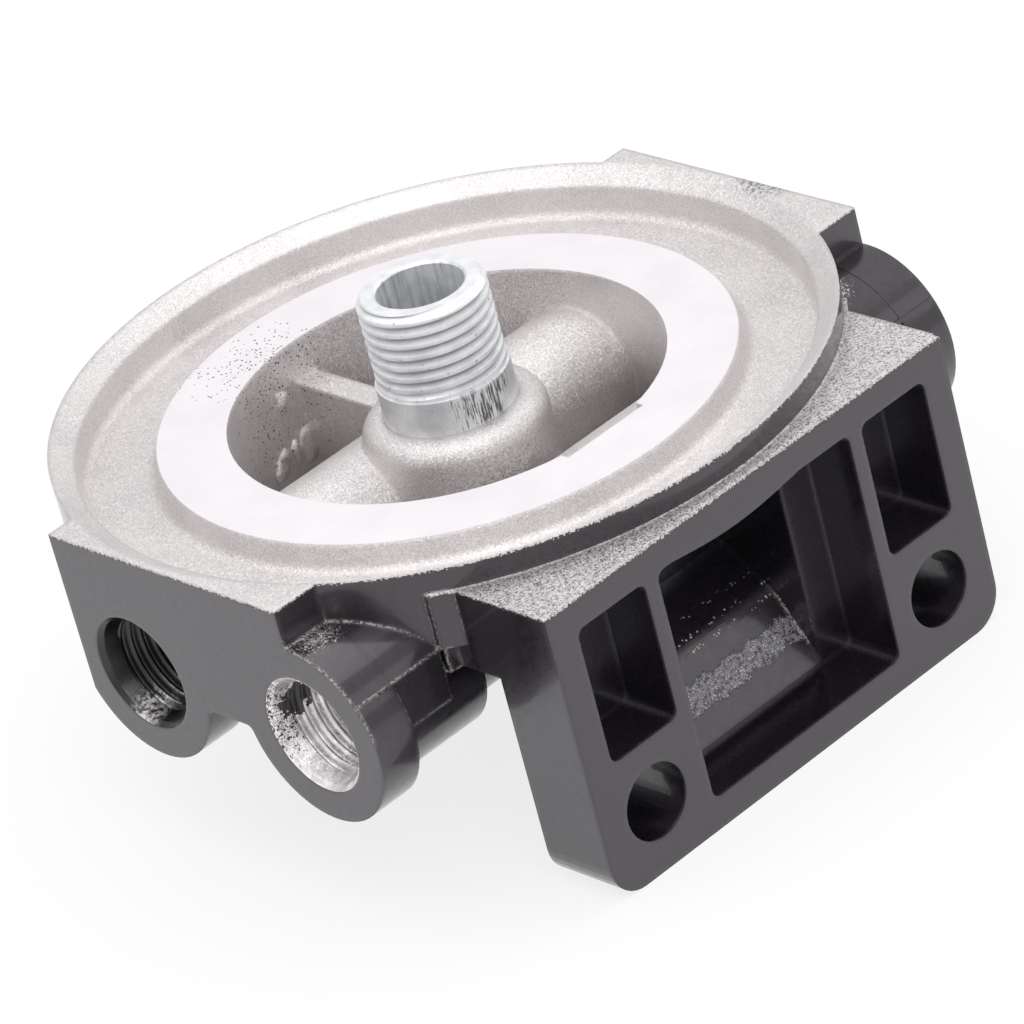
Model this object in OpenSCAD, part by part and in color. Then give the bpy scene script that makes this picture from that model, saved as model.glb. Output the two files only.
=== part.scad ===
// Spin-on filter head: a die-cast head with four side ports and a bolt-on pad,
// and the threaded nipple that carries the filter canister.
// Frame: the nipple axis is Z, the machined seal land is the plane z = 0, the
// port axes run along X and the pad faces -Y.

/* [Filter seat] */
// Outer radius of the cast rim round the canister
rim_r = 48; // [46:0.5:52]
// Height of the rim edge above the seal land
rim_h = 2.8; // [2:0.1:4]
// Width of the sloping face inside the rim edge
lip_w = 2.9; // [1.5:0.1:4]
// Fall of the sloping face inside the rim edge
lip_drop = 1.8; // [0.8:0.1:2.4]
// Depth of the ring groove below the seal land
groove_depth = 3.2; // [2:0.1:4]
// Thickness of the flange from the rim edge to its underside
flange_t = 10.2; // [9:0.2:12]
// Outer radius of the seal land
land_r_out = 35.4; // [33:0.2:38]
// Inner radius of the seal land and of the cavity under it
land_r_in = 26.8; // [25:0.2:29]
// Width of the flat relief in the inner edge of the land
relief_w = 12.6; // [8:0.2:16]
// Distance of the flat relief from the nipple axis
relief_y = 27.2; // [27:0.1:30]

/* [Cavity] */
// Depth of the cavity floor below the seal land
cavity_depth = 19; // [17:0.5:22]
// Thickness of the cavity floor
floor_t = 3.2; // [2.5:0.1:5]
// Wall of the cup round the cavity
cup_wall = 4.2; // [3:0.1:6]
// Outer radius of the collar that holds the nipple
collar_r = 11.4; // [10:0.1:13]
// Depth of the collar top below the seal land
collar_drop = 2.5; // [1.5:0.1:4]
// Rounding of the collar shoulder
collar_round = 2.7; // [1:0.1:3]
// Thickness of the rib behind the collar
rib_t = 3.5; // [2.5:0.1:5]

/* [Nipple] */
// Crest diameter of the nipple thread
nipple_thread_d = 15.9; // [15:0.1:18]
// Diameter of the plain shank below the thread
nipple_shank_d = 16.4; // [16:0.1:18.5]
// Bore of the nipple
nipple_bore_d = 10.8; // [9:0.1:12]
// Height of the nipple tip above the seal land
nipple_top = 13.6; // [10:0.1:18]
// Length of the thread from the tip down
nipple_thread_l = 11.6; // [8:0.1:13]
// Length of the shank held inside the collar
nipple_grip = 6.4; // [6:0.5:11]
// Chamfer at the nipple tip
nipple_chamfer = 0.8; // [0.3:0.1:1.2]

/* [Ports] */
// Thread diameter of each port
port_d = 14; // [12:0.5:16]
// Depth of each port thread from the port face
port_depth = 14; // [10:0.5:16]
// Diameter of the countersink at each port mouth
port_mouth_d = 15; // [14.5:0.1:18]
// Diameter of the channel behind each port
channel_d = 9; // [7:0.5:11]
// Distance of the port faces from the nipple axis
port_face_x = 48.7; // [47:0.1:54]
// Offset of the outlet channel from the nipple axis, away from the pad
outlet_y = 6.6; // [4:0.1:8]
// Distance between the outlet and the inlet channels
port_pitch = 29.9; // [28:0.1:32]
// Depth of the port axes below the seal land
port_drop = 13.6; // [13:0.1:16]
// Radius of the bosses at the port faces
boss_r = 11.4; // [10.5:0.1:13]
// Radius of the channel housings behind the port faces
tube_r = 9.4; // [8.5:0.1:10.4]
// Radius of the outlet housing inside the cavity
inner_tube_r = 8.3; // [7.5:0.1:9]
// Radius of the inlet housing inside the cavity
inlet_core_r = 9.8; // [9.6:0.1:10.4]
// Thickness of each end wall that carries the ports
end_wall_t = 5.7; // [4:0.1:8]
// Length of the inlet housings from the port face
inlet_tube_l = 18.7; // [17:0.1:24]
// Length of their flat side towards the pad, from the port face
flat_side_l = 13.2; // [11:0.1:15]

// Radius of the slimmer inlet housings between those and the cup
slim_r = 7.3; // [6.6:0.1:8]

/* [Corner plates] */
// Side of the corner plates away from the pad
plate_back_y = 16.9; // [14:0.1:17]
// Side of the corner plates towards the pad, measured from the nipple axis
plate_front_y = 22.8; // [20:0.1:24]
// Depth of the end wall between the two bosses, below the rim edge
web_depth = 18.4; // [16:0.1:20]
// Rounding of the roots between the end wall and the bosses
web_round = 1; // [0.6:0.1:1.6]

/* [Mounting pad] */
// Width of the pad along the port axes
pad_w = 66.2; // [62:0.1:74]
// Height of the pad face
pad_h = 38.5; // [36:0.1:44]
// Thickness of the pad plate
pad_t = 10.5; // [9.8:0.1:14]
// Distance of the pad face from the nipple axis
pad_face_y = 50; // [49.5:0.1:54]
// Depth of the pad top below the seal land
pad_top_drop = 0.2; // [0:0.1:1.5]
// Radius of the two lower corners of the pad
pad_corner_r = 4.5; // [2:0.1:6]
// Thickness of the web that joins the pad top to the flange
pad_web_t = 10.6; // [9:0.1:13]
// Diameter of the two mounting holes
bolt_d = 9.4; // [8:0.1:11]
// Distance of the mounting holes from the sides of the pad
bolt_side = 8.85; // [8:0.05:10]
// Height of the mounting holes above the lower edge of the pad
bolt_up = 8.8; // [8:0.1:10]

// Flare of that web where it meets the end walls
flare = 2.2; // [1:0.1:4]

/* [Pad pockets] */
// Depth of the pockets in the pad face
pocket_depth = 8.1; // [6:0.1:8.5]
// Radius of the pocket corners
pocket_r = 1.2; // [0.5:0.1:2]
// Width of each side pocket
side_pocket_w = 10.9; // [8:0.1:12]
// Height of each side pocket
side_pocket_h = 18; // [14:0.1:19]
// Distance of the side pockets from the sides of the pad
side_pocket_side = 4.05; // [3:0.05:5]
// Width of the centre pocket
mid_pocket_w = 32.2; // [28:0.1:33]
// Height of the centre pocket
mid_pocket_h = 30.8; // [28:0.1:32]
// Depth of the pocket tops below the pad top
pocket_top = 3.8; // [3:0.1:5]
// Sag of the centre pocket's upper edge, where the casting is thicker
pocket_sag = 0.95; // [0.3:0.05:1.5]
// Width of the deep recess behind the centre pocket
recess_w = 22; // [18:0.1:24]
// Wall of the brace round the deep recess
recess_wall = 3.6; // [2.5:0.1:5]

/* [Hidden] */
$fn = 64;

eps = 0.02;
far = 200;

rim_z = rim_h;
lip_r = rim_r - lip_w;
under_z = rim_h - flange_t;
cavity_z = -cavity_depth;
cup_z = cavity_z - floor_t;
cup_r = land_r_in + cup_wall;
cup_round = 3;
under_round = 2;
rim_flat = 0.15;
land_draft = 0.6;
groove_round = 1.2;

collar_z = -collar_drop;
nipple_foot_z = collar_z - nipple_grip;
thread_end_z = nipple_top - nipple_thread_l;

inlet_y = outlet_y - port_pitch;
port_z = -port_drop;
end_x = port_face_x - end_wall_t;
web_z = rim_h - web_depth;
rib_z = port_z + inner_tube_r;
side_step_y = inlet_y - tube_r - 0.3;
// the trimmed flash at the parting plane starts this far behind the port face
flash_x = 0.3;
side_step_x = port_face_x - flat_side_l;
// the cup hides the inner ends of the back return and of the pad web
return_x = land_r_in;
web_root_y = cup_r - 0.5;
web_w = pad_w;
pad_top_r = 0.4;
// centre of the root rounding, level with the wall and clear of the boss
web_rise = port_z - (web_z - web_round);
web_root = sqrt(pow(boss_r + web_round, 2) - pow(web_rise, 2));
web_root_a = asin(web_rise / (boss_r + web_round));

pad_back_y = pad_t - pad_face_y;
pad_top_z = -pad_top_drop;
pad_foot_z = pad_top_z - pad_h;
pocket_y = pocket_depth - pad_face_y;
pocket_top_z = pad_top_z - pocket_top;
mid_pocket_z = pocket_top_z - mid_pocket_h;
bolt_z = pad_foot_z + bolt_up;
bolt_pitch = pad_w - 2 * bolt_side;
side_pocket_x = (pad_w - side_pocket_w) / 2 - side_pocket_side;
brace_w = recess_w + 2 * recess_wall;
// the sag runs from sag_x0 to sag_x1 along the pad
sag_x0 = -0.42 * mid_pocket_w;
sag_x1 = 0.24 * mid_pocket_w;
relief_z = port_z + tube_r + 0.4;
// the recess floor climbs at ramp_a to a rounded knee, and on from there to
// the underside of the inlet housing, which it meets at the angle under_a
ramp_a = 57;
under_a = 230;
ramp_rise = 8.8;
ramp_round = 8;
ramp_foot_z = mid_pocket_z + 0.5;
ramp_end_y = inlet_y + tube_r * cos(under_a);
ramp_end_z = port_z + tube_r * sin(under_a);
knee_y = pocket_y + ramp_rise / tan(ramp_a);
knee_z = ramp_foot_z + ramp_rise;
flat_a = atan2(ramp_end_z - knee_z, ramp_end_y - knee_y);
mean_a = (ramp_a + flat_a) / 2;
knee_reach = ramp_round / cos((ramp_a - flat_a) / 2);
// fall of the recess ceiling from the pocket to the housing
ceiling_drop = 3;
// the flare of the pad web ends this far in front of the flat sides
flare_end = 0.1;
// small ledge where the flash was trimmed at the parting plane
ledge = 0.3;
// the housings start at these depths behind the port faces, each at its own
starts = [1.5, 2, 2.5];

// A cylinder along X from x0 to x1, about the line y, z.
module bar_x(r, x0, x1, y, z) {
    translate([x0, y, z])
        rotate([0, 90, 0])
            cylinder(r = r, h = x1 - x0);
}

// A slab between x0 and x1 whose outline is drawn in the Y-Z plane.
module slab_x(x0, x1) {
    translate([x0, 0, 0])
        rotate([90, 0, 90])
            linear_extrude(height = x1 - x0)
                children();
}

// A slab between y0 and y1 whose outline is drawn in the X-Z plane.
module slab_y(y0, y1) {
    translate([0, y1, 0])
        rotate([90, 0, 0])
            linear_extrude(height = y1 - y0)
                children();
}

// Points of an arc about x, y from angle a0 to angle a1.
function arc(x, y, r, a0, a1, n = 8) =
    [for (i = [0:n]) let (a = a0 + (a1 - a0) * i / n) [x + r * cos(a), y + r * sin(a)]];

// A rectangle from its lower left corner, with lower corners of radius r0 and
// upper corners of radius r1.
module round_rect(w, h, r0, r1) {
    polygon(concat(
        arc(r0, r0, r0, 180, 270),
        arc(w - r0, r0, r0, 270, 360),
        arc(w - r1, h - r1, r1, 0, 90),
        arc(r1, h - r1, r1, 90, 180)
    ));
}

// Turned section of the cup under the flange.
module cup_profile() {
    polygon(concat(
        [[0, cup_z]],
        arc(cup_r - cup_round, cup_z + cup_round, cup_round, 270, 360, 6),
        arc(cup_r + under_round, under_z - under_round, under_round, 180, 90, 4),
        [[cup_r + under_round + 1, under_z + 1], [0, under_z + 1]]
    ));
}

// Turned section of what is cut off above the land, the groove and the lip.
module seat_cut_profile() {
    slope = lip_drop / (lip_w - rim_flat);
    polygon(concat(
        [[0, 0], [land_r_out, 0]],
        arc(land_r_out + land_draft + groove_round, groove_round - groove_depth,
            groove_round, 190, 270, 5),
        arc(lip_r - groove_round, groove_round - groove_depth, groove_round, 270, 360, 5),
        [
            [lip_r, rim_z - lip_drop],
            [rim_r - rim_flat + 2, rim_z + 2 * slope],
            [0, rim_z + 2 * slope]
        ]
    ));
}

// Plan of the flange: the round seat with a corner plate at each end.
module flange_outline() {
    circle(r = rim_r);
    translate([-port_face_x + 1, -plate_front_y])
        square([2 * port_face_x - 2, plate_front_y + plate_back_y]);
}

// Plan of the web from the pad to the flange. It flares out by out over a
// length of run where it meets the end walls.
module web_outline(out, run) {
    polygon([
        [-web_w / 2, 1 - pad_face_y],
        [web_w / 2, 1 - pad_face_y],
        [web_w / 2, side_step_y - run],
        [web_w / 2 + out, side_step_y - flare_end],
        [web_w / 2 + out, -web_root_y],
        [-web_w / 2 - out, -web_root_y],
        [-web_w / 2 - out, side_step_y - flare_end],
        [-web_w / 2, side_step_y - run]
    ]);
}

// Turned section of the collar with its rounded shoulder.
module collar_profile() {
    polygon(concat(
        [[0, cavity_z - 1], [collar_r, cavity_z - 1]],
        arc(collar_r - collar_round, collar_z - collar_round, collar_round, 0, 90, 9),
        [[0, collar_z]]
    ));
}

// Outline of an end wall with its two port bosses, in the Y-Z plane.
module end_outline() {
    intersection() {
        union() {
            translate([-plate_front_y, web_z])
                square([plate_front_y + plate_back_y, rim_z - web_z]);
            translate([outlet_y, port_z]) circle(r = boss_r);
            translate([inlet_y, port_z]) circle(r = boss_r);
        }
        translate([-far, -far]) square([far + plate_back_y, far + rim_z]);
    }
    // rounded roots where the wall meets the two bosses
    polygon(concat(
        [[inlet_y, web_z + 1]],
        arc(inlet_y + web_root, web_z - web_round, web_round, 180 - web_root_a, 90, 5),
        arc(outlet_y - web_root, web_z - web_round, web_round, 90, web_root_a, 5),
        [[outlet_y, web_z + 1]]
    ));
}

// One end of the head: the end wall, its back return and the inlet housing.
module port_end() {
    slab_x(-port_face_x, -end_x) end_outline();
    translate([-port_face_x + 1, plate_back_y - end_wall_t, web_z])
        cube([port_face_x - 1 - return_x, end_wall_t, under_z - web_z + 1]);
    bar_x(tube_r, starts[2] - port_face_x, inlet_tube_l - port_face_x, inlet_y, port_z);
    // above the parting plane the boss runs on, below it the side is flat
    intersection() {
        bar_x(boss_r - 0.1, starts[1] - port_face_x, ledge - side_step_x, inlet_y, port_z);
        translate([-far, inlet_y + 1 - far, under_z - ledge]) cube([far, far, far]);
    }
    translate([flash_x - port_face_x, side_step_y, port_z - ledge])
        cube([flat_side_l - flash_x, tube_r / 2, under_z - port_z + 1.6 * ledge]);
}

// The pad plate, with the web that joins its top to the flange.
module pad() {
    slab_y(-pad_face_y, pad_back_y)
        translate([-pad_w / 2, pad_foot_z])
            round_rect(pad_w, pad_h, pad_corner_r, pad_top_r);
    // the web is flared down to the parting plane and stepped below it
    translate([0, 0, under_z])
        linear_extrude(pad_top_z - under_z) web_outline(flare, flare + flare_end);
    translate([0, 0, pad_top_z - pad_web_t])
        linear_extrude(pad_web_t - 1) web_outline(flare - 0.5, 4 * flare_end);
}

// The hollow brace behind the centre pocket, in the Y-Z plane: its outside.
module brace_outline() {
    polygon([
        [pad_back_y - 1, pad_top_z - pad_web_t + 1],
        [pad_back_y - 1, ramp_foot_z],
        [pad_back_y + 1, ramp_foot_z],
        [ramp_end_y + recess_wall / 2, ramp_end_z - 0.9 * recess_wall],
        [inlet_y, ramp_end_z - recess_wall / 2],
        [inlet_y, pad_top_z - pad_web_t + 1]
    ]);
}

// The deep recess behind the centre pocket, in the Y-Z plane. Its back is the
// bare side of the inlet housing.
module recess_outline() {
    top_z = pocket_top_z - 1.05 * pocket_sag;
    polygon(concat(
        [[pocket_y - 1, ramp_foot_z], [pocket_y, ramp_foot_z]],
        arc(knee_y + knee_reach * sin(mean_a), knee_z - knee_reach * cos(mean_a),
            ramp_round, 90 + ramp_a, 90 + flat_a, 6),
        arc(inlet_y, port_z, tube_r, under_a, 180),
        [
            [inlet_y - tube_r, top_z - ceiling_drop],
            [pocket_y, top_z],
            [pocket_y - 1, top_z]
        ]
    ));
}

// The centre pocket in the X-Z plane, with its sagging upper edge.
module mid_pocket_outline() {
    w = mid_pocket_w;
    polygon(concat(
        arc(pocket_r - w / 2, mid_pocket_z + pocket_r, pocket_r, 180, 270),
        arc(w / 2 - pocket_r, mid_pocket_z + pocket_r, pocket_r, 270, 360),
        arc(w / 2 - pocket_r, pocket_top_z - pocket_r, pocket_r, 0, 90),
        [for (i = [0:12])
            [sag_x1 + (sag_x0 - sag_x1) * i / 12, pocket_top_z - pocket_sag * sin(15 * i)]],
        arc(pocket_r - w / 2, pocket_top_z - pocket_r, pocket_r, 90, 180)
    ));
}

// Everything that is cut out of the pad.
module pad_cuts() {
    for (side = [-1, 1]) {
        translate([side * bolt_pitch / 2, pad_back_y + 1, bolt_z])
            rotate([90, 0, 0])
                cylinder(d = bolt_d, h = pad_t + 2);
        slab_y(-pad_face_y - 1, pocket_y)
            translate([side * side_pocket_x - side_pocket_w / 2, pocket_top_z - side_pocket_h])
                round_rect(side_pocket_w, side_pocket_h, pocket_r, pocket_r);
    }
    slab_y(-pad_face_y - 1, pocket_y) mid_pocket_outline();
    slab_x(-recess_w / 2, recess_w / 2) recess_outline();
}

// The outside of the casting, before anything is cut out of it.
module shell() {
    translate([0, 0, under_z]) linear_extrude(flange_t) flange_outline();
    rotate_extrude() cup_profile();
    bar_x(tube_r, starts[0] - port_face_x, port_face_x - starts[0], outlet_y, port_z);
    bar_x(slim_r, starts[1] - side_step_x, side_step_x - starts[1], inlet_y, port_z);
    port_end();
    mirror([1, 0, 0]) port_end();
    pad();
    slab_x(-brace_w / 2, brace_w / 2) brace_outline();
}

// What crosses the cavity: the housings, the collar and the rib.
module cavity_core() {
    intersection() {
        union() {
            bar_x(inner_tube_r, -land_r_in - 1, land_r_in + 1, outlet_y, port_z);
            bar_x(inlet_core_r, -land_r_in - 1, land_r_in + 1, inlet_y, port_z);
            translate([-rib_t / 2, 0, cavity_z - 1])
                cube([rib_t, land_r_in + 1, rib_z - cavity_z + 1]);
            rotate_extrude() collar_profile();
        }
        translate([0, 0, cavity_z - 0.5])
            cylinder(r = land_r_in + 0.5, h = cavity_depth + 0.4);
    }
}

// One threaded port, from its face at -X inwards, with its countersink.
module port_cut(y) {
    sink = (port_mouth_d - port_d) / 2;
    bar_x(port_d / 2, -port_face_x - 1, port_depth - port_face_x, y, port_z);
    translate([-port_face_x - 1, y, port_z])
        rotate([0, 90, 0])
            cylinder(r1 = port_mouth_d / 2 + 1, r2 = port_d / 2 - 1, h = sink + 2);
}

// Every bore in the head.
module bores() {
    for (side = [0, 1], y = [outlet_y, inlet_y])
        mirror([side, 0, 0]) port_cut(y);
    for (y = [outlet_y, inlet_y])
        bar_x(channel_d / 2, port_depth - port_face_x - 1, port_face_x - port_depth + 1,
              y, port_z);
    translate([0, 0, port_z]) cylinder(d = channel_d, h = far);
    translate([0, 0, nipple_foot_z]) cylinder(d = nipple_shank_d, h = far);
    // window that opens the inlet channel to the cavity
    translate([-relief_w / 2, inlet_y, port_z - 0.4 * channel_d])
        cube([relief_w, tube_r + 1, 0.8 * channel_d]);
}

module filter_head() {
    color("dimgray")
    difference() {
        union() {
            difference() {
                shell();
                rotate_extrude() seat_cut_profile();
                translate([0, 0, cavity_z]) cylinder(r = land_r_in, h = far);
                translate([-relief_w / 2, -relief_y, relief_z])
                    cube([relief_w, relief_y, far]);
                pad_cuts();
            }
            cavity_core();
        }
        bores();
    }
}

module nipple() {
    color("lightsteelblue")
    difference() {
        union() {
            translate([0, 0, nipple_foot_z])
                cylinder(d = nipple_shank_d, h = thread_end_z - nipple_foot_z);
            translate([0, 0, thread_end_z - eps])
                cylinder(d = nipple_thread_d, h = nipple_thread_l - nipple_chamfer + eps);
            translate([0, 0, nipple_top - nipple_chamfer])
                cylinder(d1 = nipple_thread_d, d2 = nipple_thread_d - 2 * nipple_chamfer,
                         h = nipple_chamfer);
        }
        translate([0, 0, nipple_foot_z - 1])
            cylinder(d = nipple_bore_d, h = nipple_top - nipple_foot_z + 2);
    }
}

filter_head();
nipple();
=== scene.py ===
# %% [markdown]
# # A spin-on filter head
#
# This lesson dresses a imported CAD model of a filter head: one black-painted
# aluminium casting with a bare machined seat, and one zinc-plated steel nipple.
# The CAD model comes in as a fixed frame. It is in metres, the nipple axis is Z,
# the ground seal land is the plane z = 0, the ports run along X and the mounting
# pad faces -Y. We never move or change those solids. We give them finishes,
# and we model what a CAD solid leaves out: real thread turns and casting marks.

# %% Load the CAD model
import bpy
import bmesh
import math
from mathutils import Matrix, Vector, noise


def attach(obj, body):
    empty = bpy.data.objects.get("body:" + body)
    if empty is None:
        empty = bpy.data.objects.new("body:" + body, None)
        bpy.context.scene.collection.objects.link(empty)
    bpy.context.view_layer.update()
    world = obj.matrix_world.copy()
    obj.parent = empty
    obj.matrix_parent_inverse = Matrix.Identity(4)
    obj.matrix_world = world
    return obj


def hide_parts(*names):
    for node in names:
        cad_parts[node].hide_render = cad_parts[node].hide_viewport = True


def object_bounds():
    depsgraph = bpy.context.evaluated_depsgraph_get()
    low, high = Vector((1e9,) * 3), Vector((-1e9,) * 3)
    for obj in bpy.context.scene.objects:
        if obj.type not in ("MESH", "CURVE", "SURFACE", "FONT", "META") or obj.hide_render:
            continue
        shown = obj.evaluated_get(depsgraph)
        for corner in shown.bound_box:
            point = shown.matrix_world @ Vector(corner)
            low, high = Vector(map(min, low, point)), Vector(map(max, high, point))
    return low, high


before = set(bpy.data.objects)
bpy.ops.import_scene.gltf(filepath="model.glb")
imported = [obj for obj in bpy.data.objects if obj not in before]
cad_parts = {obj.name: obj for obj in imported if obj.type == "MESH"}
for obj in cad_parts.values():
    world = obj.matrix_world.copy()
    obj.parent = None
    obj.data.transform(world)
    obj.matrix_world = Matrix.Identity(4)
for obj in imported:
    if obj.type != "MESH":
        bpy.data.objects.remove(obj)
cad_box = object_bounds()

scene = bpy.context.scene
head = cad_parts["filter_head"]
cad_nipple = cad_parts["nipple"]
print("CAD box in metres:", cad_box)

# %% [markdown]
# ## The camera
#
# A long lens far away keeps the ellipses of the seat calm, as in the photograph.
# Its place was found by matching edges of the part, so the numbers aren't round.
# The small roll is real too: the part was photographed slightly tilted.

# %% Camera
camera_data = bpy.data.cameras.new("camera")
camera_data.lens = 225.0
camera_data.sensor_width = 36.0
camera_data.clip_end = 20.0
camera = bpy.data.objects.new("camera", camera_data)
camera.location = (-0.40244, -0.53559, 0.35263)
camera.rotation_euler = [math.radians(a) for a in (60.1248, 13.0709, -44.6311)]
scene.collection.objects.link(camera)
scene.camera = camera
print("camera is", round(camera.location.length, 3), "m from the seal land")

# %% [markdown]
# ## Two helpers for materials
#
# Colours are easier to judge as the hex values that a painter or a web page
# uses, but the renderer works in linear light, so one function converts them.
# A second one adds a shader node, fills its inputs and hands back an output, so
# that a recipe can be written as one node inside another.

# %% Colour and node helpers
def paint(hex_text):
    """An sRGB colour such as D6D3D0 as linear red, green, blue and alpha."""
    out = []
    for i in (0, 2, 4):
        c = int(hex_text[i:i + 2], 16) / 255
        out.append(c / 12.92 if c <= 0.04045 else ((c + 0.055) / 1.055) ** 2.4)
    return (*out, 1.0)


def node(tree, kind, *values, at=None, out=0, **named):
    """Adds a shader node and gives back an output, or several for several names.

    A kind such as "Math.ADD" also says the operation. The values fill the inputs
    in their order, at fills them by number, and the named ones are settings of
    the node or inputs by name. Each is a plain value or another node's output.
    """
    kind, _, operation = kind.partition(".")
    made = tree.nodes.new("ShaderNode" + kind)
    if operation:
        made.operation = operation
    inputs = {**dict(enumerate(values)), **(at or {})}
    for name, value in named.items():
        if hasattr(made, name):
            setattr(made, name, value)
        else:
            inputs[name.replace("_", " ")] = value
    for key, value in inputs.items():
        if isinstance(value, bpy.types.NodeSocket):
            tree.links.new(value, made.inputs[key])
        else:
            made.inputs[key].default_value = value
    if isinstance(out, tuple):
        return [made.outputs[key] for key in out]
    return made.outputs[out]


# a Mix node that blends colours has its colours at inputs 6 and 7
COLOUR_MIX = {"data_type": "RGBA", "out": 2}


def new_material(name):
    """An empty material, its tree and its output node."""
    made = bpy.data.materials.new(name)
    made.use_nodes = True
    made.node_tree.nodes.clear()
    out = made.node_tree.nodes.new("ShaderNodeOutputMaterial")
    return made, made.node_tree, out


print("black paint in linear light:", [round(c, 4) for c in paint("18151A")])

# %% [markdown]
# ## Places in millimetres
#
# The casting is one solid with several finishes on it, so its material has to
# know where it is. Object coordinates are metres from the nipple axis. We scale
# them to millimetres once, and split them, so that every later number is a size
# that could be checked with a caliper.

# %% Places in millimetres
class Places:
    """Where a surface point is: mm, x, y, z, radius, and up for how far it looks up."""

    def __init__(self, tree):
        spot, facing = node(tree, "TexCoord", out=("Object", "Normal"))
        self.mm = node(tree, "VectorMath.SCALE", spot, Scale=1000)
        self.x, self.y, self.z = node(tree, "SeparateXYZ", self.mm, out=(0, 1, 2))
        squares = node(tree, "Math.ADD", node(tree, "Math.MULTIPLY", self.x, self.x),
                       node(tree, "Math.MULTIPLY", self.y, self.y))
        self.radius = node(tree, "Math.SQRT", squares)
        self.up = node(tree, "SeparateXYZ", facing, out=2)


# %% [markdown]
# A mask is a number from 0 to 1 that says how much of a finish is at a place.
# Masks are joined like stencils: `every` lays one over another, `most` cuts a
# second opening beside the first.

# %% Masks
def combine(tree, operation, masks):
    """Joins masks one after another."""
    out = masks[0]
    for mask in masks[1:]:
        out = node(tree, "Math." + operation, out, mask)
    return out


def every(tree, *masks):
    """1 where all of the masks are 1. A number among them makes the result fainter."""
    return combine(tree, "MULTIPLY", masks)


def most(tree, *masks):
    """1 where any of the masks is 1."""
    return combine(tree, "MAXIMUM", masks)


def between(tree, value, low, high, soft=0.02):
    """1 where value lies between low and high, with soft ends."""
    up = node(tree, "MapRange", value, low - soft, low + soft)
    down = node(tree, "MapRange", value, high - soft, high + soft, 1.0, 0.0)
    return every(tree, up, down)


def near(tree, here, centre, reach, stretch=(1, 1, 1)):
    """1 at a centre in mm, falling to 0 at its reach."""
    off = node(tree, "VectorMath.SUBTRACT", here.mm, centre)
    off = node(tree, "VectorMath.MULTIPLY", off, stretch)
    far = node(tree, "VectorMath.LENGTH", off, out="Value")
    return node(tree, "MapRange", far, 0.0, reach, 1.0, 0.0)


print("mask helpers ready")

# %% [markdown]
# Nothing that was cast or sprayed is even. `grain` is noise with a chosen number
# of features per millimetre, stretched so that it can serve as a mask. `glints`
# tilts the normal of small cells each its own way, which is what the facets of
# a blasted skin do, and makes it sparkle.

# %% Uneven surfaces
def grain(tree, here, scale, detail, rough, low, high):
    """Noise with that many features per mm, stretched so that low..high is 0..1."""
    value = node(tree, "TexNoise", Vector=here.mm, Scale=scale, Detail=detail, Roughness=rough)
    return node(tree, "MapRange", value, low, high)


def glints(tree, here, scale, normal, amount):
    """A normal that each small cell tilts its own way, as a blasted skin does."""
    cell = node(tree, "TexVoronoi", Vector=here.mm, Scale=scale, out="Color")
    tilt = node(tree, "VectorMath.SUBTRACT", cell, (0.5, 0.5, 0.5))
    tilt = node(tree, "VectorMath.SCALE", tilt, Scale=amount)
    return node(tree, "VectorMath.NORMALIZE", node(tree, "VectorMath.ADD", normal, tilt))


print("surface helpers ready")

# %% [markdown]
# ## The casting's finishes
#
# A head like this is die-cast in aluminium, sprayed black, and then machined
# where the canister seals. Three finishes meet on one solid:
#
# * die-cast aluminium left bare, with a fine blasted grain that sparkles,
# * the turned seal land, so smooth that it shows nearly white,
# * black paint, semi-gloss, over the same cast skin.
#
# The paint ends in a ragged line at the machined top, where the cutter broke it,
# so the first mask adds noise to the height at which bare metal starts.

# %% Where the metal is bare
RIM_R = 48.0
RIM_Z = 2.8
LAND_OUT = 35.4
LAND_IN = 26.8
PAD_TOP = -0.2
PORT_Z = -13.6
OUTLET_Y = 6.6
INLET_Y = -23.3


def bare_mask(tree, here):
    """1 on bare aluminium, 0 on paint."""
    # the seat down to its groove, and the cavity down to its floor
    seat = every(tree, between(tree, here.radius, -1.0, RIM_R - 0.07),
                 node(tree, "MapRange", here.z, -3.75, -3.65))
    cavity = every(tree, between(tree, here.radius, -1.0, LAND_IN + 0.8),
                   node(tree, "MapRange", here.z, -19.6, -19.5))
    # flat tops that the blasting reached: the corner plates and the pad's top
    flat = every(tree, node(tree, "MapRange", here.up, 0.80, 0.92),
                 node(tree, "MapRange", here.z, -0.9, -0.8))
    # broken paint just under the sharp upper edges, up to 0.45 mm down
    ragged = grain(tree, here, 3.2, 4.0, 0.6, 0.42, 0.66)
    drop = node(tree, "Math.MULTIPLY_ADD", ragged, 0.42, 0.03)
    at_rim = node(tree, "Math.GREATER_THAN", here.z, node(tree, "Math.SUBTRACT", RIM_Z, drop))
    over_pad = node(tree, "Math.GREATER_THAN", here.z, node(tree, "Math.SUBTRACT", PAD_TOP, drop))
    at_pad = every(tree, node(tree, "Math.GREATER_THAN", here.radius, RIM_R - 0.1), over_pad,
                   between(tree, here.z, -1.5, PAD_TOP + 0.02, 0.01),
                   node(tree, "MapRange", here.y, -32.9, -33.1))
    return most(tree, seat, cavity, flat, at_rim, at_pad)


# %% [markdown]
# The bare skin is light grey aluminium. Blasting leaves facets, each with its own
# slope and shine, so one noise drives the colour, the bump and the roughness
# together. Real facets measure about 0.1 mm, too fine to show here, so they are
# drawn at 5.5 per mm, about 0.2 mm each. Deep in the cavity the metal is drawn
# darker with depth, as painted shade.

# %% Blasted aluminium
FACETS = 5.5


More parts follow.
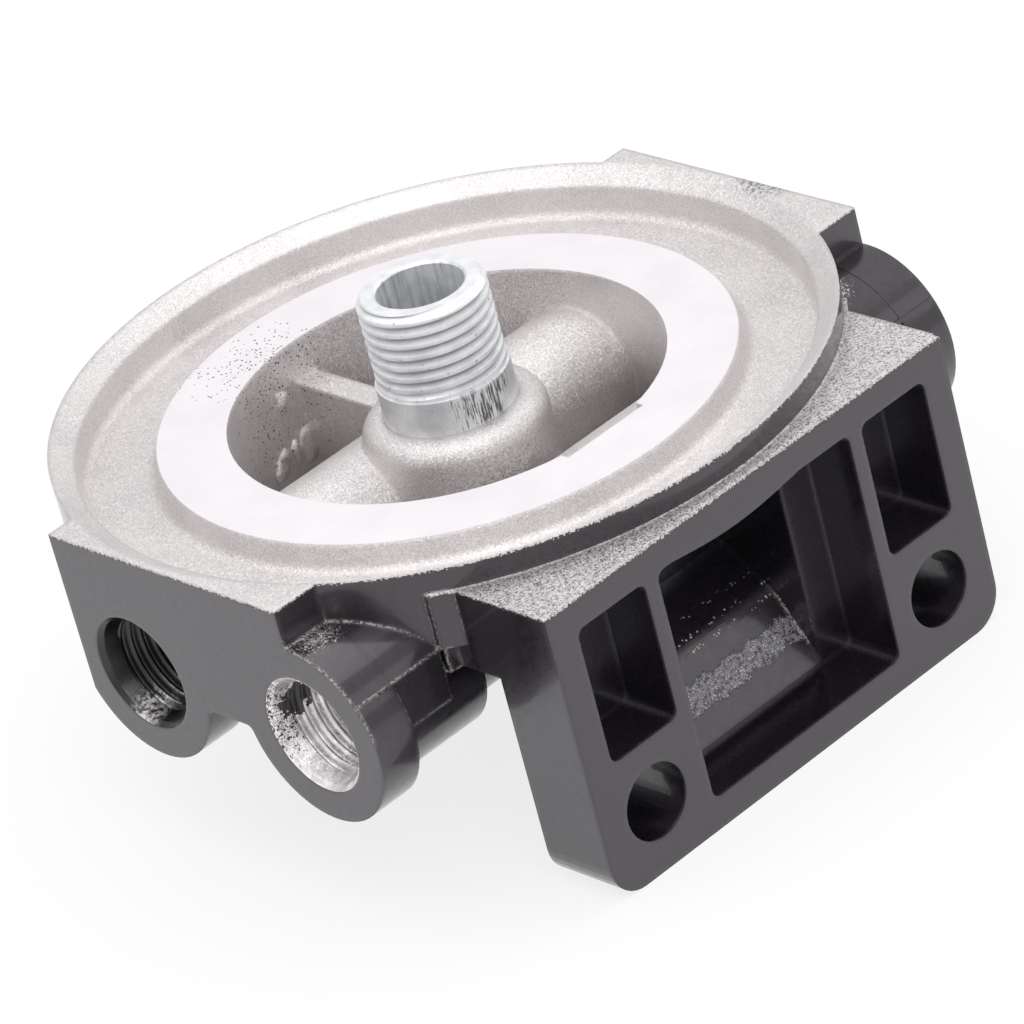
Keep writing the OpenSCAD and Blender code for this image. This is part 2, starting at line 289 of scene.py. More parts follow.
def blasted_metal(tree, here, soft, cloud):
    """Bare die-cast aluminium: light grey, rough, sparkling."""
    facet = node(tree, "TexNoise", Vector=here.mm, Scale=FACETS, Detail=3.0, Roughness=0.7)
    dark = node(tree, "Mix", at={0: cloud, 6: paint("C6C1C1"), 7: paint("D5D1D0")}, **COLOUR_MIX)
    bright = node(tree, "MapRange", facet, 0.35, 0.7)
    colour = node(tree, "Mix", at={0: bright, 6: dark, 7: paint("F4F0F0")}, **COLOUR_MIX)
    # painted shade: deeper in the cavity the metal is drawn darker
    painted_depth_shade = every(tree, node(tree, "MapRange", here.z, -9.0, -18.0, 0.0, 0.40),
                    node(tree, "MapRange", here.radius, 27.5, 28.0, 1.0, 0.0))
    colour = node(tree, "Mix", at={0: painted_depth_shade, 6: colour, 7: paint("8F8A87")}, **COLOUR_MIX)
    bump = node(tree, "Bump", Height=facet, Normal=soft, Strength=0.55, Distance=0.00012)
    return node(tree, "BsdfPrincipled", Base_Color=colour, Metallic=0.82,
                Normal=glints(tree, here, 6.0, bump, 0.36),
                Roughness=node(tree, "MapRange", facet, 0.3, 0.7, 0.54, 0.36))


# %% [markdown]
# The land is the ring that the canister's seal presses on. It was faced on a
# lathe, so it is the brightest and smoothest face. Its tool marks are rings, and
# noise that only changes with the radius draws them, 6 per mm. That is about
# 0.17 mm apart, coarser than a real feed of 0.1 mm, so that they just show.

# %% Turned land
RINGS = 6.0


def turned_land(tree, here, cloud):
    """The faced seal land: nearly white, with rings that hardly show."""
    ring_at = node(tree, "CombineXYZ", node(tree, "Math.MULTIPLY", here.radius, RINGS))
    ring = node(tree, "TexNoise", Vector=ring_at, Scale=1.0, Detail=2.0)
    colour = node(tree, "Mix", at={0: cloud, 6: paint("F7F2F6"), 7: paint("FCF8FB")}, **COLOUR_MIX)
    bump = node(tree, "Bump", Height=ring, Strength=0.25, Distance=0.00002)
    return node(tree, "BsdfPrincipled", Base_Color=colour, Normal=bump, Metallic=0.65,
                Roughness=0.38)


# %% [markdown]
# The deep recess in the pad shows how the part was cast. On its sloping floor a
# band of metal froze before the die was full, and stayed rough and torn at its
# upper edge. We mark the recess and that band first, because both the paint and
# its worn places need them.

# %% Recess of the pad
def recess_marks(tree, here):
    """Masks of the recess in the pad, and of the rough band on its floor."""
    inside = every(tree, between(tree, here.x, -10.98, 10.98), between(tree, here.y, -41.8, -31.0))
    wobble = node(tree, "TexNoise", Vector=here.mm, Scale=0.55, Detail=3.0, Roughness=0.6)
    torn = node(tree, "Math.MULTIPLY_ADD", wobble, 2.2, node(tree, "Math.ADD", here.z, -1.1))
    band = every(tree, inside, between(tree, torn, -31.3, -28.5, 0.12))
    return inside, band


# %% [markdown]
# The paint is a semi-gloss black. It follows the slow waves of the cast skin,
# about 1 mm long, and its clear upper layer keeps highlights sharp while the
# black under it stays deep. On the rough band the skin is crumbs of about
# 0.5 mm. The paint pools between them, so their tops show grey.

# %% Black paint
def black_paint(tree, here, soft, band):
    """Semi-gloss black paint on a die-cast skin."""
    wave = node(tree, "TexNoise", Vector=here.mm, Scale=0.9, Detail=3.0, Roughness=0.5)
    skin = node(tree, "Bump", Height=wave, Normal=soft, Strength=0.35, Distance=0.00008)
    crumbs = node(tree, "TexNoise", Vector=here.mm, Scale=2.2, Detail=3.0, Roughness=0.6)
    skin = node(tree, "Bump", Height=every(tree, crumbs, band), Normal=skin, Strength=1.0,
                Distance=0.0004)
    grey = every(tree, band, node(tree, "MapRange", crumbs, 0.38, 0.56))
    colour = node(tree, "Mix", at={0: grey, 6: paint("18151A"), 7: paint("8A8790")}, **COLOUR_MIX)
    return node(tree, "BsdfPrincipled", Base_Color=colour, Normal=skin, IOR=1.6,
                Roughness=node(tree, "MapRange", wave, 0.3, 0.7, 0.24, 0.36),
                Specular_Tint=(1.0, 0.9, 1.0, 1.0),
                Coat_Weight=0.8, Coat_Roughness=0.1, Coat_IOR=1.5)


# %% [markdown]
# Spray drifts. The pad's bare top is peppered with fine flecks, the seat and the
# cavity wall have stray dots of 0.1 to 0.3 mm, and there is one smear on the far
# rim. A Voronoi cell makes a round dot with a size and a chance of its own, and
# the chance is higher near the places where the part has its dots.

# %% Stray paint on bare metal
def stray_paint(tree, here):
    """1 where paint lies on bare metal."""
    on_pad = every(tree, between(tree, here.z, PAD_TOP - 0.6, PAD_TOP + 0.05),
                   node(tree, "Math.GREATER_THAN", here.radius, RIM_R - 0.1))
    flecks = every(tree, on_pad, grain(tree, here, 3.4, 3.0, 0.75, 0.50, 0.60), 0.85)
    distance, cell = node(tree, "TexVoronoi", Vector=here.mm, Scale=2.3, out=("Distance", "Color"))
    chance, size = node(tree, "SeparateXYZ", cell, out=(0, 1))
    reach = node(tree, "MapRange", size, 0.0, 1.0, 0.17, 0.36)
    crowd = most(tree,
                 every(tree, near(tree, here, (-6.0, 27.2, -1.0), 8.5, (0.7, 1.0, 1.0)), 0.95),
                 every(tree, near(tree, here, (-10.0, 24.8, -7.0), 10.5), 0.42),
                 every(tree, near(tree, here, (-0.5, 25.0, -4.8), 4.0), 0.8))
    dots = every(tree, node(tree, "Math.LESS_THAN", distance, reach),
                 node(tree, "Math.LESS_THAN", chance, crowd))
    far_rim = near(tree, here, (48.2, -7.5, 2.8), 3.6, (1.5, 0.7, 1.0))
    smear = every(tree, node(tree, "MapRange", far_rim, 0.05, 0.5),
                  grain(tree, here, 1.4, 4.0, 0.7, 0.46, 0.56), 0.7)
    return most(tree, flecks, dots, smear)


# %% [markdown]
# Paint also wears. It is thin in bright specks on the tops of the inlet bosses,
# rubbed off in short dashes along the near boss's edges, where the bare dashes
# also serve as a painted highlight on those edges, and pierced by rows of bright
# grains on the recess floor. An edge is found by comparing the rounded normal of
# the Bevel node with the true normal: where they differ, an edge is close.

# %% Worn paint
def worn_paint(tree, here, soft, inside, band):
    """1 where bare metal shows through the paint."""
    fine = node(tree, "TexNoise", Vector=here.mm, Scale=FACETS, Detail=2.0, Roughness=0.6)
    tops = most(tree, near(tree, here, (-45.2, -23.6, -3.0), 4.6, (0.85, 1.2, 0.5)),
                near(tree, here, (38.5, -26.6, -2.9), 4.0, (1.0, 1.5, 0.5)))
    tops = every(tree, tops, node(tree, "MapRange", here.z, -2.15, -2.25),
                 node(tree, "MapRange", here.y, -22.84, -22.88),
                 node(tree, "MapRange", here.up, 0.1, 0.3))
    limit = node(tree, "MapRange", tops, 0.0, 0.7, 0.72, 0.50)
    specks = every(tree, node(tree, "Math.GREATER_THAN", fine, limit),
                   node(tree, "Math.GREATER_THAN", tops, 0.0))
    true_normal = node(tree, "NewGeometry", out="True Normal")
    edge = node(tree, "VectorMath.DOT_PRODUCT", soft, true_normal, out="Value")
    edge = node(tree, "MapRange", edge, 0.75, 0.83, 1.0, 0.0)
    by_boss = most(tree, near(tree, here, (-45.5, -29.0, -6.0), 9.0),
                   near(tree, here, (-38.5, -33.0, -10.0), 5.5),
                   near(tree, here, (-35.5, -33.0, -3.0), 4.5),
                   near(tree, here, (11.0, -38.0, -29.5), 4.0))
    # edge wear along the near boss's edges, also a painted highlight on those edges
    wear_and_painted_highlight = every(tree, edge, node(tree, "MapRange", by_boss, 0.0, 0.12),
                   grain(tree, here, 2.6, 3.0, 0.7, 0.44, 0.54))
    rows = most(tree, between(tree, here.z, -26.25, -25.9, 0.08),
                between(tree, here.z, -25.1, -24.8, 0.08),
                between(tree, here.z, -23.8, -23.55, 0.08))
    distance, cell = node(tree, "TexVoronoi", Vector=here.mm, Scale=2.1, out=("Distance", "Color"))
    chance = node(tree, "SeparateXYZ", cell)
    grains = every(tree, rows, inside, node(tree, "Math.LESS_THAN", distance, 0.3),
                   node(tree, "Math.GREATER_THAN", chance, 0.3))
    crumb_tops = every(tree, band, node(tree, "Math.GREATER_THAN", fine, 0.62))
    return most(tree, specks, wear_and_painted_highlight, grains, crumb_tops)


# %% [markdown]
# Now the finishes are laid over each other. The Bevel node rounds the shading of
# every sharp CAD edge by 0.9 mm, as on a real casting, and leaves the mesh alone.

# %% The casting's material
def casting_material():
    """Painted, blasted and machined aluminium on one solid."""
    made, tree, out = new_material("die_cast_aluminium_black_paint")
    here = Places(tree)
    soft = node(tree, "Bevel", samples=4, Radius=0.0009)
    cloud = grain(tree, here, 0.12, 3.0, 0.5, 0.35, 0.65)
    land = every(tree, between(tree, here.radius, LAND_IN - 2, LAND_OUT - 0.05, 0.05),
                 between(tree, here.z, -0.06, 0.06), node(tree, "MapRange", here.up, 0.9, 0.95))
    inside, band = recess_marks(tree, here)
    bare = most(tree, bare_mask(tree, here), worn_paint(tree, here, soft, inside, band))
    bare = every(tree, bare, node(tree, "Math.SUBTRACT", 1.0, stray_paint(tree, here)))
    metal = node(tree, "MixShader", land, blasted_metal(tree, here, soft, cloud),
                 turned_land(tree, here, cloud))
    whole = node(tree, "MixShader", bare, black_paint(tree, here, soft, band), metal)
    tree.links.new(whole, out.inputs["Surface"])
    return made


def dress(target, material):
    """Gives every slot of a CAD node one material."""
    for slot in target.material_slots:
        slot.material = material


casting = casting_material()
dress(head, casting)
print("casting finish:", casting.name, len(casting.node_tree.nodes), "nodes")

# %% [markdown]
# ## Turning a real thread
#
# A thread is one groove that climbs by its pitch in each turn. In Blender the
# spin operator can climb while it turns, through its dvec setting. If the
# profile repeats every pitch, the last copy lands exactly on the first one, one
# groove higher, and welding them gives an endless screw. We then trim it with
# plain limits on the radius, the way a lathe tool cuts a chamfer or a shank.

# %% Thread maker
def screw_surface(pitch, crest, root, z_low, z_high, steps=96, per_pitch=10, flat=0.125,
                  sharp=0.125):
    """A bmesh of one helical surface about Z from z_low to z_high, in metres."""
    bm = bmesh.new()
    # spare turns below and above, because the ends of a screw surface are slanted
    count = round((z_high - z_low) / pitch * per_pitch) + 4 * per_pitch
    start = z_low - 2 * pitch
    last = None
    for i in range(count + 1):
        along = (i % per_pitch) / per_pitch
        rise = min(1.0, max(0.0, (abs(along - 0.5) * 2 - flat) / (1 - flat - sharp)))
        spot = (crest + (root - crest) * rise, 0, start + pitch * i / per_pitch)
        point = bmesh.ops.create_vert(bm, co=spot)["vert"][0]
        if last:
            bm.edges.new((last, point))
        last = point
    bmesh.ops.spin(bm, geom=bm.verts[:] + bm.edges[:], cent=(0, 0, 0), axis=(0, 0, 1),
                   dvec=(0, 0, pitch / steps), angle=2 * math.pi, steps=steps, use_merge=False)
    bmesh.ops.remove_doubles(bm, verts=bm.verts[:], dist=pitch / per_pitch / 8)
    return bm


def radius_of(point):
    """A point's distance from the Z axis."""
    return math.hypot(point.co.x, point.co.y)


def set_radius(point, radius):
    """Moves a point to that distance from the Z axis."""
    now = radius_of(point)
    point.co.x *= radius / now
    point.co.y *= radius / now


# %% [markdown]
# The screw surface is open. We cut its slanted ends off flat, grow the lower
# open loop around the outside or the inside of the tube, and bridge it to the
# upper one. That makes a closed mesh, like a turned part.

# %% Closing a tube
SAME_HEIGHT = 2e-6


def trim_flat(bm, z, upper):
    """Cuts the mesh off at a height, keeping what is below it or above it."""
    bmesh.ops.bisect_plane(bm, geom=bm.verts[:] + bm.edges[:] + bm.faces[:], dist=1e-7,
                           plane_co=(0, 0, z), plane_no=(0, 0, 1 if upper else -1),
                           clear_outer=True)


def open_loop(bm, z):
    """The boundary edges that lie at a height."""
    return [e for e in bm.edges
            if e.is_boundary and all(abs(v.co.z - z) < SAME_HEIGHT for v in e.verts)]


def close_tube(bm, z_low, z_high, profile):
    """Grows the loop at z_low through heights and radii, then joins it to z_high."""
    rim = open_loop(bm, z_low)
    for height, radius in profile:
        grown = bmesh.ops.extrude_edge_only(bm, edges=rim)
        rim = [g for g in grown["geom"] if isinstance(g, bmesh.types.BMEdge) and g.is_boundary]
        for point in {v for e in rim for v in e.verts}:
            point.co.z = height
            set_radius(point, radius)
    far = [e for e in open_loop(bm, z_high) if e not in rim]
    bmesh.ops.bridge_loops(bm, edges=rim + far)


def add_piece(name, bm, material, smooth=30):
    """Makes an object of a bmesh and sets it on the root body."""
    bmesh.ops.recalc_face_normals(bm, faces=bm.faces[:])
    closed = all(e.is_manifold for e in bm.edges)
    mesh = bpy.data.meshes.new(name)
    bm.to_mesh(mesh)
    bm.free()
    piece = bpy.data.objects.new(name, mesh)
    scene.collection.objects.link(piece)
    mesh.materials.append(material)
    for face in mesh.polygons:
        face.use_smooth = True
    mesh.set_sharp_from_angle(angle=math.radians(smooth))
    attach(piece, "root")
    print(name, len(mesh.polygons), "faces, closed:", closed)
    return piece


# %% [markdown]
# ## The nipple
#
# The nipple is a steel tube, threaded outside, zinc plated and screwed into the
# collar until its plain shank sits tight. Zinc plating is a soft bluish grey,
# duller than polished steel. The thread's roots are drawn darker, and the shank
# is a shade duller than the thread.

# %% Zinc plate
def zinc_plate(tree, here):
    """The colour of zinc plate, darker in the thread's roots and on the shank."""
    cloud = grain(tree, here, 0.5, 2.0, 0.5, 0.35, 0.65)
    plate = node(tree, "Mix", at={0: cloud, 6: paint("E4E5E8"), 7: paint("F3F4F5")}, **COLOUR_MIX)
    # darker towards the thread's roots
    rooted = every(tree, node(tree, "MapRange", here.radius, 7.12, 7.5, 0.5, 0.0),
                   between(tree, here.z, 2.1, 13.4, 0.1))
    on_shank = every(tree, node(tree, "MapRange", here.z, 2.0, 1.9), 0.22)
    outside = node(tree, "Math.GREATER_THAN", here.radius, 6.9)
    duller = every(tree, outside, most(tree, rooted, on_shank))
    return node(tree, "Mix", at={0: duller, 6: plate, 7: paint("85878C")}, **COLOUR_MIX)


# %% [markdown]
# The shank shows dark upright scratches from the tool that drove the nipple in,
# the thread crests have small nicks, and dark streaks of thread sealant run down
# the bore. Noise becomes a streak when it changes fast around the axis and
# slowly along it, so two of the three use the angle in place of x and y.

# %% Scratches, nicks and streaks
def zinc_marks(tree, here):
    """How dark the nipple is scratched, nicked or streaked, from 0 to 1."""
    angle = node(tree, "Math.ARCTAN2", here.y, here.x)
    around = node(tree, "CombineXYZ", node(tree, "Math.MULTIPLY", angle, 26.0),
                  node(tree, "Math.MULTIPLY", here.z, 0.28))
    scratch = node(tree, "TexNoise", Vector=around, Scale=1.0, Detail=4.0, Roughness=0.65)
    gripped = near(tree, here, (-1.2, -8.1, 0.3), 6.5)
    limit = node(tree, "MapRange", gripped, 0.0, 0.7, 0.66, 0.47)
    over = node(tree, "Math.SUBTRACT", scratch, limit)
    scratched = every(tree, between(tree, here.z, -2.4, 1.9, 0.35),
                      node(tree, "MapRange", over, 0.0, 0.05), 0.85)
    nicked = every(tree, grain(tree, here, 1.6, 3.0, 0.7, 0.64, 0.70),
                   between(tree, here.radius, 7.6, 8.1, 0.1), 0.6)
    down = node(tree, "CombineXYZ", node(tree, "Math.MULTIPLY", angle, 7.0),
                node(tree, "Math.MULTIPLY", here.z, 0.10))
    streak = node(tree, "TexNoise", Vector=down, Scale=1.0, Detail=3.0)
    streaked = every(tree, node(tree, "MapRange", here.radius, 5.5, 5.6, 1.0, 0.0),
                     node(tree, "MapRange", streak, 0.45, 0.7, 0.0, 0.4))
    return most(tree, scratched, nicked, streaked)


# %% [markdown]
# Plating keeps a fine grain. It is real at about 0.05 mm, too fine for this
# picture, so it is drawn at 0.25 mm, where it breaks up the highlights.

# %% Zinc-plated steel
def zinc_material():
    """Zinc-plated turned steel: a broken, bluish shine."""
    made, tree, out = new_material("zinc_plated_steel")
    here = Places(tree)
    fine = node(tree, "TexNoise", Vector=here.mm, Scale=4.0, Detail=3.0, Roughness=0.6)
    colour = node(tree, "Mix", at={0: zinc_marks(tree, here), 6: zinc_plate(tree, here),
                                   7: paint("2B2D30")}, **COLOUR_MIX)
    steel = node(tree, "BsdfPrincipled", Base_Color=colour, Metallic=0.55,
                 Normal=node(tree, "Bump", Height=fine, Strength=0.35, Distance=0.00005),
                 Roughness=node(tree, "MapRange", fine, 0.3, 0.7, 0.34, 0.5))
    tree.links.new(steel, out.inputs["Surface"])
    return made


zinc = zinc_material()
dress(cad_nipple, zinc)
print("nipple finish:", zinc.name, len(zinc.node_tree.nodes), "nodes")

# %% [markdown]
# The mesh takes its sizes from the CAD nipple, which is plain. Above, the crests
# end in a chamfer. Below, the groove runs out until it reaches the shank, as it
# does where the cutting tool was drawn back.

# %% Nipple with its thread
PITCH = 0.0015
NIPPLE_CREST = 0.00795
NIPPLE_ROOT = 0.00708
SHANK_R = 0.0082
NIPPLE_BORE = 0.0054
NIPPLE_TOP = 0.0136
NIPPLE_FOOT = -0.0089
THREAD_END = 0.002
CHAMFER = 0.0008
BORE_EDGE = 0.0003
RUN_OUT = 0.0012
RUN_OUT_SLOPE = 1.1


def nipple_limit(z):
    """Largest and smallest radius of the nipple's outside at a height."""
    chamfer = NIPPLE_CREST - max(0.0, z - (NIPPLE_TOP - CHAMFER))
    run_out = NIPPLE_ROOT + max(0.0, THREAD_END + RUN_OUT - z) * RUN_OUT_SLOPE
    return chamfer, min(run_out, NIPPLE_CREST)


def make_nipple():
    """The nipple as one closed mesh: thread, shank, end faces and bore."""
    bm = screw_surface(PITCH, NIPPLE_CREST, NIPPLE_ROOT, THREAD_END - PITCH, NIPPLE_TOP,
                       steps=128, flat=0.38, sharp=0.05)
    for point in bm.verts:
        high, low = nipple_limit(point.co.z)
        set_radius(point, max(min(radius_of(point), high), low))
    trim_flat(bm, NIPPLE_TOP, True)
    trim_flat(bm, THREAD_END, False)
    close_tube(bm, THREAD_END, NIPPLE_TOP,
               ((THREAD_END, SHANK_R), (NIPPLE_FOOT, SHANK_R), (NIPPLE_FOOT, NIPPLE_BORE),
                (NIPPLE_TOP - BORE_EDGE, NIPPLE_BORE), (NIPPLE_TOP, NIPPLE_BORE + BORE_EDGE)))
    return bm


nipple = add_piece("nipple_turned", make_nipple(), zinc)
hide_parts("nipple")

# %% [markdown]
# ## The ports' threads
#
# The four ports were drilled and tapped after casting. A tapped face is bright,
# while the mouth around it is duller. Its finish changes from port to port, so
# we first work out which port a point is in, how far out it lies, and how far
# it is off that port's axis.

# %% Places in a port
OUTLET_SIDE = -8.0


class PortPlaces(Places):
    """Places, with whether it is an outlet port, how far out, and off the axis."""

    def __init__(self, tree):
        super().__init__(tree)
        self.outlet = node(tree, "Math.GREATER_THAN", self.y, OUTLET_SIDE)
        self.out = node(tree, "Math.ABSOLUTE", self.x)
        axis_y = node(tree, "Math.MULTIPLY_ADD", self.outlet, OUTLET_Y - INLET_Y, INLET_Y)
        self.side = node(tree, "Math.SUBTRACT", self.y, axis_y)
        self.rise = node(tree, "Math.SUBTRACT", self.z, PORT_Z)
        squares = node(tree, "Math.ADD", node(tree, "Math.MULTIPLY", self.side, self.side),
                       node(tree, "Math.MULTIPLY", self.rise, self.rise))
        self.off_axis = node(tree, "Math.SQRT", squares)


# %% [markdown]
# Paint covers the outlet ports. It has been rubbed off the crests on one side,
# and these bare crests also serve as a painted highlight. One patch under the
# near mouth is bare metal as a painted highlight. The inlet ports are bare, with
# specks that crowd towards one side and a smear at the near mouth.

# %% Paint in the ports
def outlet_paint(tree, here):
    """1 where paint covers an outlet port."""
    crest = every(tree, node(tree, "MapRange", here.off_axis, 6.26, 6.36, 1.0, 0.0),
                  node(tree, "MapRange", here.out, 46.3, 46.6, 1.0, 0.0))
    # bare crests on one side: rubbed wear, and also a painted highlight on them
    wear_and_painted_highlight = every(tree, crest, node(tree, "MapRange", here.side, 4.5, -0.5, 0.0, 0.85),
                   grain(tree, here, 1.3, 3.0, 0.6, 0.42, 0.62))
    # a painted highlight: one patch of bare metal under the near mouth
    painted_highlight_place = near(tree, here, (-47.3, 8.6, -19.6), 3.4, (0.7, 1.0, 0.8))
    painted_highlight_patch = every(tree, node(tree, "MapRange", painted_highlight_place, 0.2, 0.6),
                 grain(tree, here, 1.8, 3.0, 0.6, 0.40, 0.60), 0.7)
    left = node(tree, "Math.SUBTRACT", 1.0, most(tree, wear_and_painted_highlight, painted_highlight_patch))
    return every(tree, here.outlet, left)


def inlet_paint(tree, here):
    """1 where stray paint lies in an inlet port."""
    speck = node(tree, "TexNoise", Vector=here.mm, Scale=3.0, Detail=3.0, Roughness=0.75)
    slant = node(tree, "Math.MULTIPLY_ADD", here.rise, 0.15, here.side)
    limit = node(tree, "MapRange", slant, 1.0, 6.5, 0.72, 0.52)
    specks = every(tree, node(tree, "MapRange", here.out, 45.3, 46.0),
                   node(tree, "Math.GREATER_THAN", speck, limit))
    mouth = near(tree, here, (-45.0, -17.4, -12.6), 4.2, (1.0, 1.0, 1.1))
    torn = node(tree, "TexNoise", Vector=here.mm, Scale=1.2, Detail=2.0, Roughness=0.5)
    smear = node(tree, "Math.GREATER_THAN",
                 node(tree, "Math.MULTIPLY_ADD", torn, 0.8, mouth), 0.82)
    inlet = node(tree, "Math.SUBTRACT", 1.0, here.outlet)
    return every(tree, inlet, most(tree, specks, smear))


# %% [markdown]
# The tap leaves fine score marks. Drawn at 0.2 mm, coarser than they are, they
# break the highlight of each turn into grains as the photograph shows it.

# %% Tapped aluminium
def tapped_material():
    """Cut aluminium threads: bright, duller at the mouth, partly painted."""
    made, tree, out = new_material("tapped_aluminium")
    here = PortPlaces(tree)
    score = node(tree, "TexNoise", Vector=here.mm, Scale=5.0, Detail=3.0, Roughness=0.7)
    cloud = grain(tree, here, 0.6, 2.0, 0.5, 0.4, 0.6)
    colour = node(tree, "Mix", at={0: cloud, 6: paint("D9D5D5"), 7: paint("F8F4F4")}, **COLOUR_MIX)
    bump = node(tree, "Bump", Height=score, Strength=0.4, Distance=0.00006)
    metal = node(tree, "BsdfPrincipled", Base_Color=colour, Metallic=0.9,
                 Normal=glints(tree, here, 5.0, bump, 0.15),
                 Roughness=node(tree, "MapRange", here.out, 45.6, 45.9, 0.28, 0.45))
    black = node(tree, "BsdfPrincipled", Base_Color=paint("141113"), Normal=bump, IOR=1.6,
                 Roughness=0.2)
    cover = most(tree, outlet_paint(tree, here), inlet_paint(tree, here))
    both = node(tree, "MixShader", cover, metal, black)
    tree.links.new(both, out.inputs["Surface"])
    return made


tapped = tapped_material()
print("port finish:", tapped.name, len(tapped.node_tree.nodes), "nodes")

# %% [markdown]
# The CAD bores are plain, at the thread's outer diameter. A sleeve with the same
# screw surface, facing inwards, sits in each bore with its back buried in the
# casting. Its mouth has a short 45 degree edge and then a shallow cone without
# any turns, as a port has where it was drilled wider before it was tapped.

# %% Four tapped sleeves
PORT_FACE = 0.0487
THREAD_MAJOR = 0.00698
THREAD_MINOR = 0.0062
MOUTH_R = 0.00747
SINK_R = 0.00693
LEAD_IN = 0.0024
LEAD_SLOPE = 0.32
SLEEVE_R = 0.0078
SLEEVE_START = 0.00003
SLEEVE_END = 0.0128


def make_port_sleeve(side, port_y):
    """A closed sleeve with an inside thread, turned to lie along X."""
    bm = screw_surface(PITCH, THREAD_MINOR, THREAD_MAJOR, 0.0, SLEEVE_END)
    for point in bm.verts:
        z = point.co.z
        edge = MOUTH_R - max(0.0, z)
        cone = SINK_R - (z - (MOUTH_R - SINK_R)) * LEAD_SLOPE
        mouth = max(edge, cone)
        set_radius(point, mouth if z < LEAD_IN else max(radius_of(point), mouth))
    trim_flat(bm, SLEEVE_END, True)
    trim_flat(bm, SLEEVE_START, False)
    close_tube(bm, SLEEVE_START, SLEEVE_END,
               ((SLEEVE_START, SLEEVE_R), (SLEEVE_END, SLEEVE_R)))
    # the sleeve was made about Z with its mouth at 0: lay it along X
    turn = Matrix.Rotation(math.radians(90 if side < 0 else -90), 4, "Y")
    place = Matrix.Translation((side * PORT_FACE, port_y, PORT_Z / 1000))
    bmesh.ops.transform(bm, matrix=place @ turn, verts=bm.verts[:])
    return bm


for side, side_name in ((-1, "left"), (1, "right")):
    for port_y, port_name in ((OUTLET_Y, "outlet"), (INLET_Y, "inlet")):
        sleeve = make_port_sleeve(side, port_y / 1000)
        add_piece(f"{port_name}_thread_{side_name}", sleeve, tapped)

# %% [markdown]
# ## Casting marks
#
# Where two halves of a die meet, a little metal squeezes out. On the back wall
# of the cavity a few lumps of this flash were left on. Each one is a small
# sphere, pressed flat against the wall and pushed about with noise.

# %% Flash lumps on the cavity wall
WALL_R = 0.0268
LUMP_THICK = 0.0006
# for each lump: the angle on the wall in degrees, then height, half width, half height in mm
LUMPS = ((95.4, -13.4, 1.6, 2.5), (100.3, -13.1, 0.9, 1.6), (108.3, -13.7, 1.6, 1.3),
         (105.6, -12.4, 1.0, 0.8), (101.0, -6.2, 1.1, 1.4))


def make_flash():
    """Lumps of flash on the cavity's wall, as one mesh."""
    bm = bmesh.new()
    up = Vector((0, 0, 1))
    for angle, height, width, tall in LUMPS:
        ball = bmesh.ops.create_icosphere(bm, subdivisions=4, radius=1.0)["verts"]
        turn = math.radians(angle)
        squeeze = Matrix.Diagonal((LUMP_THICK, width / 1000, tall / 1000, 1.0))
        spot = Matrix.Translation((math.cos(turn) * WALL_R, math.sin(turn) * WALL_R,
                                   height / 1000))
        bmesh.ops.transform(bm, matrix=spot @ Matrix.Rotation(turn, 4, "Z") @ squeeze, verts=ball)
        for point in ball:
            # noise in three sizes of about 0.7 to 1.2 mm pushes it in, up and along the wall
            inward = 0.00025 * noise.noise(point.co * 1400)
            outward = Vector((point.co.x, point.co.y, 0)).normalized()
            point.co += 0.0004 * noise.noise(point.co * 900) * up
            point.co -= outward * inward
            along = 0.0005 * noise.noise(point.co * 800 + Vector((5, 0, 0)))
            point.co += outward.cross(up) * along
    return bm


add_piece("cast_flash_cavity", make_flash(), casting, smooth=180)

# %% [markdown]
# ## Floor, world and lamps
#
# The photograph has a white sweep and broad soft light, so the floor is a pale
# matt plane at the lowest point of the part. Light Path lets it look white to
# the camera and in reflections, while it still takes the part's soft shadow.

# %% Floor
FLOOR_HALF = 3.0


def floor_material():
    """A pale matt floor that the camera and reflections see as white."""
    made, tree, out = new_material("pale_studio_floor")
    matt = node(tree, "BsdfDiffuse", Color=paint("F4F4F4"))
    glow = node(tree, "Emission", Strength=1.0)
    rays = node(tree, "LightPath", out=("Is Camera Ray", "Is Glossy Ray", "Is Transmission Ray"))
    mix = node(tree, "MixShader", every(tree, most(tree, *rays), 0.8), matt, glow)
    tree.links.new(mix, out.inputs["Surface"])
    return made


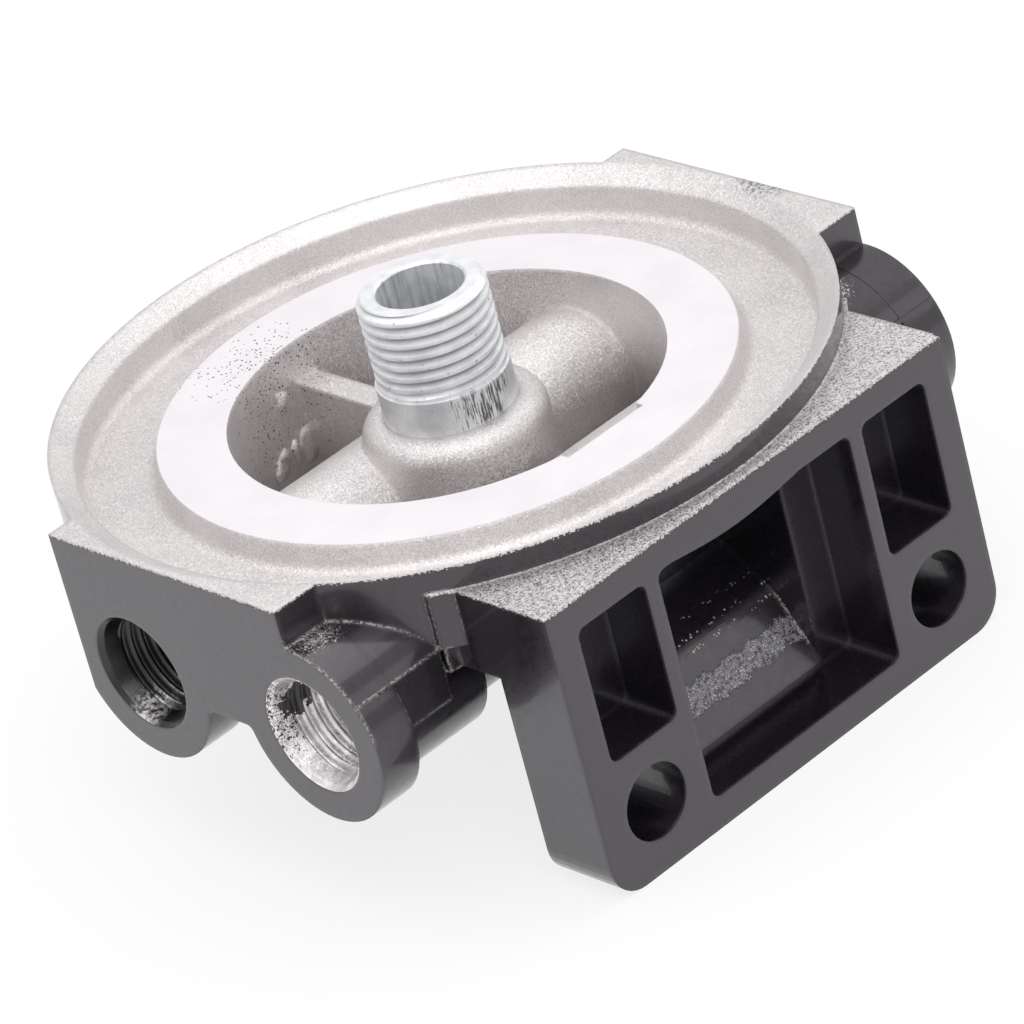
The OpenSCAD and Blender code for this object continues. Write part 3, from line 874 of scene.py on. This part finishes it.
floor_bm = bmesh.new()
bmesh.ops.create_grid(floor_bm, x_segments=1, y_segments=1, size=FLOOR_HALF,
                      matrix=Matrix.Translation((0, 0, cad_box[0][2])))
floor_mesh = bpy.data.meshes.new("floor")
floor_bm.to_mesh(floor_mesh)
floor_bm.free()
floor_mesh.materials.append(floor_material())
floor = bpy.data.objects.new("floor", floor_mesh)
scene.collection.objects.link(floor)
print("floor at", round(cad_box[0][2] * 1000, 2), "mm")

# %% [markdown]
# The world is the room around the part. The camera sees it as plain white, and
# the part is lit by a light grey, which leaves the lamps room to shape it.

# %% World
world = bpy.data.worlds.new("studio")
scene.world = world
world.use_nodes = True
sky = world.node_tree
sky.nodes.clear()
sky_out = sky.nodes.new("ShaderNodeOutputWorld")
room = node(sky, "Background", Color=paint("F5F5F6"), Strength=0.72)
white = node(sky, "Background", Color=paint("FFFFFF"), Strength=1.0)
seen = node(sky, "LightPath", out="Is Camera Ray")
sky.links.new(node(sky, "MixShader", seen, room, white), sky_out.inputs["Surface"])
print("world:", world.name, len(sky.nodes), "nodes")

# %% [markdown]
# Five soft boxes stand around the part. The large one overhead lights the seat
# evenly. The one by the camera fills the front, the left and right ones draw
# the edges, and the front one puts a highlight on the pad and the near bosses.

# %% Lamps
ORIGIN = (0, 0, 0)


def soft_box(name, place, aim, size, power):
    """A square area lamp at a place in metres, turned to an aim point."""
    data = bpy.data.lights.new(name, "AREA")
    data.energy = power
    data.size = size
    lamp = bpy.data.objects.new(name, data)
    lamp.location = place
    lamp.rotation_euler = (Vector(aim) - Vector(place)).to_track_quat("-Z", "Y").to_euler()
    scene.collection.objects.link(lamp)
    print(name, size, "m wide,", power, "W")


soft_box("overhead_box", (0.0, 0.1, 0.9), ORIGIN, 1.2, 5.4)
soft_box("camera_side_box", (-0.3, -0.65, 0.8), ORIGIN, 0.5, 2.0)
soft_box("left_box", (-0.8, 0.1, 0.5), ORIGIN, 0.8, 0.8)
soft_box("right_box", (0.85, -0.1, 0.5), ORIGIN, 0.6, 1.2)
soft_box("front_box", (0.62, -0.88, 0.54), (0, 0, -0.02), 0.5, 0.55)

scene.view_settings.view_transform = "Standard"
